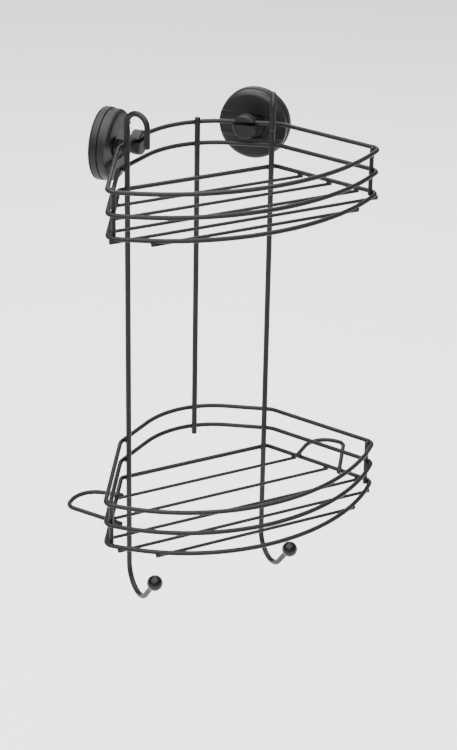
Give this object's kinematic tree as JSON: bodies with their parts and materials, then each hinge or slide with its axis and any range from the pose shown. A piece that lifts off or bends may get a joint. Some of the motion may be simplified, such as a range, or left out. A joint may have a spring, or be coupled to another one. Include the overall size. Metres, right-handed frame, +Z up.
{
  "type": "shower caddy",
  "caption": "Corner shower caddy: stacked wire baskets on upright rods with ball-ended hooks and cloth loops, hung on turn-to-lock suction adapters.",
  "frame": {"origin": "centre of the whole object's bounding box", "axes": "+Z up, +X to the user's right, +Y back into the corner of the room; the walls stand at 45 degrees to X and Y"},
  "size_m": [0.2796, 0.2174, 0.469],
  "materials": {
    "wire_coating": "satin black powder coat",
    "ball_coating": "satin black dipped coat",
    "adapter_plastic": "fine matte mould texture",
    "stem_plastic": "matte",
    "pad_rubber": "soft semi-matte",
    "pin_steel": "ground"
  },
  "bodies": {
    "rack": {"upper_top_rail": "wire_coating", "upper_middle_rail": "wire_coating", "upper_bottom_ring": "wire_coating", "upper_floor_wire_1": "wire_coating", "upper_floor_wire_2": "wire_coating", "upper_floor_wire_3": "wire_coating", "upper_floor_wire_4": "wire_coating", "upper_floor_wire_5": "wire_coating", "upper_left_post": "wire_coating", "upper_right_post": "wire_coating", "lower_top_rail": "wire_coating", "lower_middle_rail": "wire_coating", "lower_bottom_ring": "wire_coating", "lower_floor_wire_1": "wire_coating", "lower_floor_wire_2": "wire_coating", "lower_floor_wire_3": "wire_coating", "lower_floor_wire_4": "wire_coating", "lower_floor_wire_5": "wire_coating", "lower_left_post": "wire_coating", "lower_right_post": "wire_coating", "left_rod": "wire_coating", "right_rod": "wire_coating", "back_rod": "wire_coating", "left_hook_ball": "ball_coating", "right_hook_ball": "ball_coating", "left_towel_loop": "wire_coating", "right_towel_loop": "wire_coating", "left_suction_pad": "pad_rubber", "left_cup_housing": "adapter_plastic", "left_wire_holder": "adapter_plastic", "right_suction_pad": "pad_rubber", "right_cup_housing": "adapter_plastic", "right_wire_holder": "adapter_plastic"},
    "left_dial": {"left_lock_dial": "adapter_plastic"},
    "left_stem": {"left_pull_stem": "stem_plastic", "left_cross_pin": "pin_steel"},
    "right_dial": {"right_lock_dial": "adapter_plastic"},
    "right_stem": {"right_pull_stem": "stem_plastic", "right_cross_pin": "pin_steel"}
  },
  "joints": [
    {"name": "left_dial_turn", "type": "hinge", "parent": "rack", "child": "left_dial", "pos_m": [-0.06435, 0.07581, 0.1915], "axis": [0.7071, -0.7071, 0], "range_deg": [-90, 0]},
    {"name": "left_stem_slide", "type": "slide", "parent": "rack", "child": "left_stem", "axis": [0.7071, -0.7071, 0], "range_m": [-0.0016, 0]},
    {"name": "right_dial_turn", "type": "hinge", "parent": "rack", "child": "right_dial", "pos_m": [0.06435, 0.07581, 0.1915], "axis": [-0.7071, -0.7071, 0], "range_deg": [-90, 0]},
    {"name": "right_stem_slide", "type": "slide", "parent": "rack", "child": "right_stem", "axis": [-0.7071, -0.7071, 0], "range_m": [-0.0016, 0]}
  ],
  "couplings": [
    {"joint": "left_stem_slide", "follows": "left_dial_turn", "m_per_rad": 0.0010186},
    {"joint": "right_stem_slide", "follows": "right_dial_turn", "m_per_rad": 0.0010186}
  ]
}
